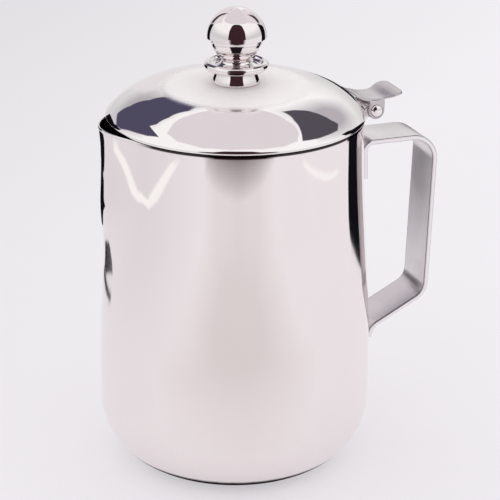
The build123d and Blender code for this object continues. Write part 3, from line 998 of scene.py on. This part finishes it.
def hang(name, spots, faces, covers, shade, one_side=False):
    """A glowing card seen only in reflections, a painted reflection; spots are in mm right of,
    before and above the jug.
    """
    mesh = bpy.data.meshes.new(name)
    verts = [(right * x - away * y + UP * z) / 1000 for x, y, z in spots]
    mesh.from_pydata(verts, [], faces)
    weight = mesh.attributes.new("cover", "FLOAT", "POINT")
    weight.data.foreach_set("value", covers)
    card = bpy.data.objects.new(name, mesh)
    bpy.context.scene.collection.objects.link(card)
    painted_glow = bpy.data.materials.new(name + "_cloth")
    painted_glow.use_nodes = True
    tree = painted_glow.node_tree
    cover = add(tree, "ShaderNodeAttribute", {"attribute_name": "cover"}, {}).outputs["Fac"]
    if one_side:
        facing = add(tree, "ShaderNodeNewGeometry", {}, {})
        front = add(
            tree, "ShaderNodeMath", {"operation": "SUBTRACT", 0: 1.0},
            {1: facing.outputs["Backfacing"]},
        )
        only_front = add(
            tree, "ShaderNodeMath", {"operation": "MULTIPLY"}, {0: cover, 1: front.outputs[0]}
        )
        cover = only_front.outputs[0]
    clear = add(tree, "ShaderNodeBsdfTransparent", {}, {})
    glow = add(tree, "ShaderNodeEmission", {"Color": linear(shade), "Strength": 1.0}, {})
    both = add(
        tree, "ShaderNodeMixShader", {},
        {0: cover, 1: clear.outputs["BSDF"], 2: glow.outputs["Emission"]},
    )
    tree.links.new(both.outputs["Shader"], tree.nodes["Material Output"].inputs["Surface"])
    mesh.materials.append(painted_glow)
    card.visible_camera = False
    card.visible_diffuse = False
    card.visible_shadow = False


def flag(name, rim, shade, soft, one_side=False):
    """A cloth with a soft edge, given by its rim; soft is the share of it that fades."""
    count = len(rim)
    middle = sum((Vector(spot) for spot in rim), Vector()) / count
    inner = [middle + (Vector(spot) - middle) * (1 - soft) for spot in rim]
    faces = []
    for k in range(count):
        a, b = 1 + k, 1 + (k + 1) % count
        faces += [(0, a, b), (a, a + count, b + count, b)]
    covers = [1.0] * (count + 1) + [0.0] * count
    hang(name, [middle, *inner, *rim], faces, covers, shade, one_side)


def hung(reach, *ways, centre=LID_APEX):
    """Places at a distance from a centre, each way a turn from the camera's side and a rise."""
    places = []
    for turn, rise in ways:
        t, e = math.radians(turn), math.radians(rise)
        out = reach * math.cos(e)
        places.append((out * math.sin(t), out * math.cos(t), centre + reach * math.sin(e)))
    return places


flag("roof_panel", hung(
    ROOF_REACH, (-94, 52), (-109, 56), (-127, 57), (-153, 54), (-169, 46), (-176, 38),
    (-180, 34), (178, 36), (173, 43), (161, 52), (141, 59), (115, 59), (96, 56), (78, 52),
    (58, 54), (34, 58), (-5, 60), (-41, 57), (-72, 53),
), "#E3DDE1", soft=0.03)
flag("left_haze", hung(
    HAZE_REACH, (-98, 34), (-116, 18), (-130, 8), (-145, 3), (-160, 8), (-176, 14), (-184, 26),
    (-178, 37), (-165, 48), (-140, 55), (-112, 50),
), HAZE_GREY, soft=0.6)
flag("right_haze", hung(
    HAZE_REACH, (90, 40), (106, 28), (118, 20), (130, 14), (142, 12), (156, 17), (170, 28),
    (172, 44), (160, 54), (130, 61), (100, 57),
), HAZE_GREY, soft=0.6)

# Side cloths and posts, painted reflections: a dark cloth on each side, which the lid shows as a
# lobe, hangs above a black post that edges the wall and the knob. A pale card and a black strip
# stand at the back.
CLOTH_REACH = 720
POST_REACH = 450
BLACK_CLOTH = "#121016"
flag("left_cloth", hung(
    CLOTH_REACH, (-142, 13), (-129, 16), (-123, 20), (-116, 27), (-108, 33), (-99, 39), (-91, 46),
    (-98, 42), (-110, 41), (-114, 43), (-117, 48), (-137, 52), (-164, 46), (-175, 33),
    (-174, 27), (-169, 26), (-159, 28), (-147, 22),
), "#504D64", soft=0.05)
flag("right_cloth", hung(
    CLOTH_REACH, (165, 46), (162, 43), (154, 42), (148, 42), (138, 40), (129, 36), (125, 31),
    (116, 31), (107, 36), (95, 42), (86, 47), (81, 50), (89, 53), (107, 57), (137, 57),
), "#54515A", soft=0.05)
flag("left_post", hung(
    POST_REACH, (-120, -19), (-119, 20), (-123, 18), (-127, 16), (-131, 13), (-135, 11),
    (-141, 7), (-146, 3), (-148, -2), (-150, -19),
), BLACK_CLOTH, soft=0.03)
flag("right_post", hung(
    POST_REACH, (111, -19), (111, 27), (118, 23), (123, 19), (130, 14), (140, 5), (143, 0),
    (145, -19),
), BLACK_CLOTH, soft=0.03)
flag("back_card", [
    (-90, -150, 80), (50, -150, 80), (50, -175, 230), (-90, -175, 230),
], "#E8E4E6", soft=0.2)
flag("back_strip", hung(
    POST_REACH, (158, -19), (158, -3), (164, -2), (168, -3), (174, -5), (174, -19),
), BLACK_CLOTH, soft=0.05)

# Front flags, painted reflections: two brown-black cloths before the jug, a small one near its
# rim and a tall one further off. The wall and the knob show them as the dark places in the
# middle.
BROWN_CLOTH = "#3A262B"
NEAR_FRONT = 150
FAR_FRONT = 500
flag("front_flag", [(across, NEAR_FRONT, level) for across, level in (
    (-62, 99), (13, 97), (88, 99), (105, 140), (107, 190), (10, 195), (-86, 190), (-84, 140),
)], BROWN_CLOTH, soft=0.35)
flag("far_flag", [(across, FAR_FRONT, level) for across, level in (
    (-300, 150), (370, 150), (370, 500), (300, 900), (180, 1000), (-120, 1000), (-230, 900),
    (-300, 500),
)], BROWN_CLOTH, soft=0.04)

# Floor cloths, painted reflections: a grey painted shadow before the jug and black cloths beside
# and behind it, laid on the paper, which the wall shows low down and along its two edges.
LAID_LEVEL = 0.5


def laid(*spots):
    """Places on the floor, each right of and before the jug."""
    return [(across, before, LAID_LEVEL) for across, before in spots]


flag("front_shade", laid(
    (-230, 300), (-160, 90), (20, 60), (200, 90), (270, 300), (230, 520), (20, 600), (-190, 520),
), "#E0DBDC", soft=0.6)
flag("right_floor_cloth", laid(
    (470, -230), (408, -190), (393, -169), (356, -142), (325, -134), (271, -154), (202, -172),
    (145, -171), (190, -230), (215, -320), (245, -385), (300, -430),
), BLACK_CLOTH, soft=0.03)
flag("left_floor_cloth", laid(
    (-312, -165), (-318, -255), (-235, -335), (-120, -375), (-85, -260), (-165, -205),
    (-240, -195),
), BLACK_CLOTH, soft=0.04)
flag("left_floor_strip", laid(
    (-135, -195), (-165, -172), (-205, -118), (-195, -108), (-160, -150), (-125, -190),
), BLACK_CLOTH, soft=0.1)

# Dark slips, painted shade seen only in reflections: one lies just over the lid before the knob,
# for the underside of the ball to show. The other is the deep shade on the paper under the turn
# of the base, a dark line in the metal.
DEEP_SHADE = "#1E181A"
SLIP_LEVEL = LID_APEX + 0.6
SHADE_RADIUS = 44
SHADE_LEVEL = -0.1
SHADE_CORNERS = 32
flag("knob_slip", [(across, before, SLIP_LEVEL) for across, before in (
    (-4, 12), (-15, 30), (0, 36), (15, 30), (4, 12),
)], DEEP_SHADE, soft=0.1, one_side=True)
base_turns = [2 * math.pi * k / SHADE_CORNERS for k in range(SHADE_CORNERS)]
flag("base_shade", [
    (SHADE_RADIUS * math.sin(t), SHADE_RADIUS * math.cos(t), SHADE_LEVEL) for t in base_turns
], DEEP_SHADE, soft=0.06)

# Painted highlights: two white glowing ribbons standing for folds of the tent, which show as
# bright lines in the wall under the rim. The left one is drawn close to the wall, because the
# hollow sides of the lip would show it three times from far off.
HIGHLIGHT_WHITE = "#FFFFFF"
LEFT_HIGHLIGHT_REACH = 64
RIGHT_HIGHLIGHT_REACH = 150
FADE_ROWS = (-0.1, 0.22, 0.78, 1.1)


def ribbon(name, edge, far_edge, shade):
    """A narrow cloth between two edges, which fades at them and at its ends."""
    rows = []
    for share in FADE_ROWS:
        rows.append([Vector(a).lerp(Vector(b), share) for a, b in zip(edge, far_edge)])
    count = len(edge)
    faces = []
    for k in range(count - 1):
        faces += [(j, j + 1, j + 1 + count, j + count) for j in (k, k + count, k + 2 * count)]
    bare = [0.0] * count
    full = [0.0] + [1.0] * (count - 2) + [0.0]
    hang(name, sum(rows, []), faces, bare + full + full + bare, shade)


def stood(reach, *ways):
    """Places on a drum round the jug, each way a turn from the camera's side and a height."""
    places = []
    for turn, level in ways:
        t = math.radians(turn)
        places.append((reach * math.sin(t), reach * math.cos(t), level))
    return places


ribbon("left_painted_highlight", stood(
    LEFT_HIGHLIGHT_REACH, (-63.0, 140.0), (-61.5, 134.3), (-58.8, 131.8), (-57.1, 128.4),
    (-55.9, 124.5), (-54.8, 120.5), (-53.4, 118.5), (-50.3, 118.0), (-49.5, 119.6),
    (-44.9, 124.5), (-40.4, 129.3), (-36.0, 133.7), (-31.6, 137.5),
), stood(
    LEFT_HIGHLIGHT_REACH, (-66.3, 138.9), (-66.3, 132.7), (-62.8, 129.9), (-60.3, 126.8),
    (-58.3, 123.2), (-56.5, 118.7), (-54.6, 115.7), (-49.4, 113.9), (-42.9, 118.5),
    (-39.0, 123.6), (-35.4, 128.3), (-31.9, 132.6), (-28.7, 136.4),
), HIGHLIGHT_WHITE)
ribbon("right_painted_highlight", stood(
    RIGHT_HIGHLIGHT_REACH, (51.0, 106.8), (55.8, 104.0), (60.9, 102.2), (67.6, 100.3), (73.5, 98.7),
    (78.6, 97.8), (83.7, 97.4), (89.0, 97.2),
), stood(
    RIGHT_HIGHLIGHT_REACH, (48.9, 106.4), (52.3, 103.6), (56.9, 101.2), (63.9, 98.5), (72.8, 96.1),
    (81.8, 95.0), (87.8, 95.3), (91.8, 95.9),
), HIGHLIGHT_WHITE)

# Veils and threads, painted reflections in the ball: close round the ball a pale veil on each
# side keeps the dark cloths off it, and a dark thread in front of each veil draws a thin line
# there instead.
VEIL_PALE = "#EAE3E7"
VEIL_REACH = CAP_RADIUS + 5.4
THREAD_DARK = "#2A2426"
THREAD_REACH = CAP_RADIUS + 0.8
flag("left_veil", hung(
    VEIL_REACH, (-97, 25), (-69, 35), (-49, 41), (-58, 51), (-71, 69), (-169, 68), (-171, 57),
    (-161, 41), (-142, 41), (-127, 36), (-115, 27), centre=BALL_LEVEL,
), VEIL_PALE, soft=0.1)
flag("right_veil", hung(
    VEIL_REACH, (139, 72), (144, 61), (119, 58), (101, 49), (90, 36), (78, 34), (58, 39),
    (41, 44), (46, 56), (74, 75), centre=BALL_LEVEL,
), VEIL_PALE, soft=0.1)
ribbon("left_thread", hung(
    THREAD_REACH, (-85, 24), (-85, 33), (-82, 43), (-76, 53), (-63, 61), (-40, 67),
    centre=BALL_LEVEL,
), hung(
    THREAD_REACH, (-70, 26), (-69, 34), (-67, 42), (-63, 51), (-52, 58), (-34, 64),
    centre=BALL_LEVEL,
), THREAD_DARK)
ribbon("right_thread", hung(
    THREAD_REACH, (64, 28), (63, 37), (61, 46), (55, 53), (41, 58), centre=BALL_LEVEL,
), hung(
    THREAD_REACH, (76, 28), (76, 38), (74, 48), (66, 56), (47, 61), centre=BALL_LEVEL,
), THREAD_DARK)

bpy.context.scene.view_settings.view_transform = "Standard"
